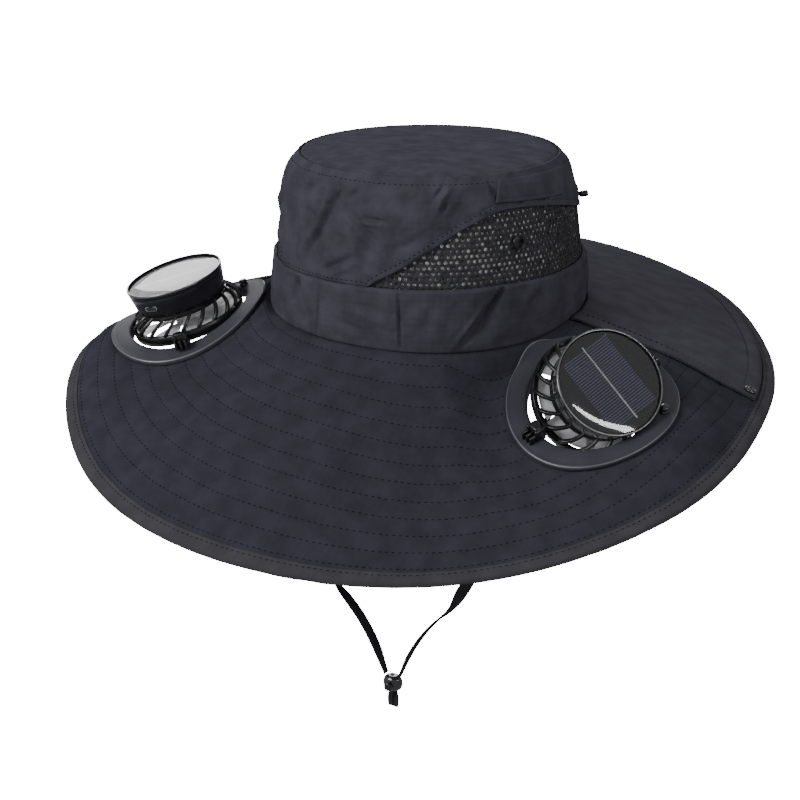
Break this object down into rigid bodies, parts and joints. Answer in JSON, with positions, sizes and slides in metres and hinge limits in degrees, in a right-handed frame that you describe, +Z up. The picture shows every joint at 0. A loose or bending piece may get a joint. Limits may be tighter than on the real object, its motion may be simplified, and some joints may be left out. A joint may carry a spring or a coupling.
{
  "type": "solar fan sun hat",
  "caption": "Wide-brimmed cloth sun hat with netted crown, neck flap, chin strap and tilting solar fans let into the brim.",
  "frame": {"origin": "middle of the head opening, level with the seam between crown and brim, where a head holds the hat", "axes": "+Z up out of the crown, -Y towards the front of the hat, +X towards the wearer's left"},
  "size_m": [0.4112, 0.4315, 0.3407],
  "materials": {
    "crown_cloth": "matt light woven cloth",
    "brim_cloth": "matt woven cloth, padded and row-stitched",
    "net": "open knitted net",
    "webbing": "flat woven tape",
    "flange_plastic": "fine matt",
    "housing_plastic": "polished black",
    "blade_plastic": "satin light grey",
    "solar_cell": "dark blue with fine light lines",
    "clear_cover": "clear plastic",
    "metal": "bright plated"
  },
  "bodies": {
    "hat": {"crown_top": "crown_cloth", "crown_side": "crown_cloth", "crown_band": "crown_cloth", "side_patch": "crown_cloth", "mesh_left": "net", "mesh_right": "net", "eyelet_left": "housing_plastic", "eyelet_right": "housing_plastic", "rear_toggle": "webbing", "brim": "brim_cloth", "brim_binding": "brim_cloth", "neck_flap": "brim_cloth", "snap_left": "metal", "snap_right": "metal", "strap_left": "webbing", "strap_right": "webbing", "strap_tail": "webbing", "cord_lock": "housing_plastic", "lock_button": "housing_plastic", "flange_left": "flange_plastic", "hinge_front_left": "housing_plastic", "hinge_back_left": "housing_plastic", "knob_left": "housing_plastic", "flange_right": "flange_plastic", "hinge_front_right": "housing_plastic", "hinge_back_right": "housing_plastic", "knob_right": "housing_plastic"},
    "fan_left": {"cage_left": "housing_plastic", "head_left": "housing_plastic", "port_left": "metal", "solar_cell_left": "solar_cell", "cover_left": "clear_cover"},
    "fan_right": {"cage_right": "housing_plastic", "head_right": "housing_plastic", "port_right": "metal", "solar_cell_right": "solar_cell", "cover_right": "clear_cover"},
    "impeller_left": {"impeller_left": "blade_plastic"},
    "impeller_right": {"impeller_right": "blade_plastic"}
  },
  "joints": [
    {"name": "fan_tilt_left", "type": "hinge", "parent": "hat", "child": "fan_left", "pos_m": [0.12534, -0.05937, -0.01952], "axis": [-0.4752, -0.8236, -0.3095], "range_deg": [0, 70]},
    {"name": "fan_tilt_right", "type": "hinge", "parent": "hat", "child": "fan_right", "pos_m": [-0.12472, -0.06518, -0.009], "axis": [0.4816, -0.8723, -0.0846], "range_deg": [-30, 30]},
    {"name": "fan_spin_left", "type": "hinge", "parent": "fan_left", "child": "impeller_left", "pos_m": [0.12534, -0.05937, -0.01952], "axis": [0.5728, -0.5566, 0.6018], "continuous": true},
    {"name": "fan_spin_right", "type": "hinge", "parent": "fan_right", "child": "impeller_right", "pos_m": [-0.12472, -0.06518, -0.009], "axis": [-0.2039, -0.2054, 0.9572], "continuous": true}
  ]
}
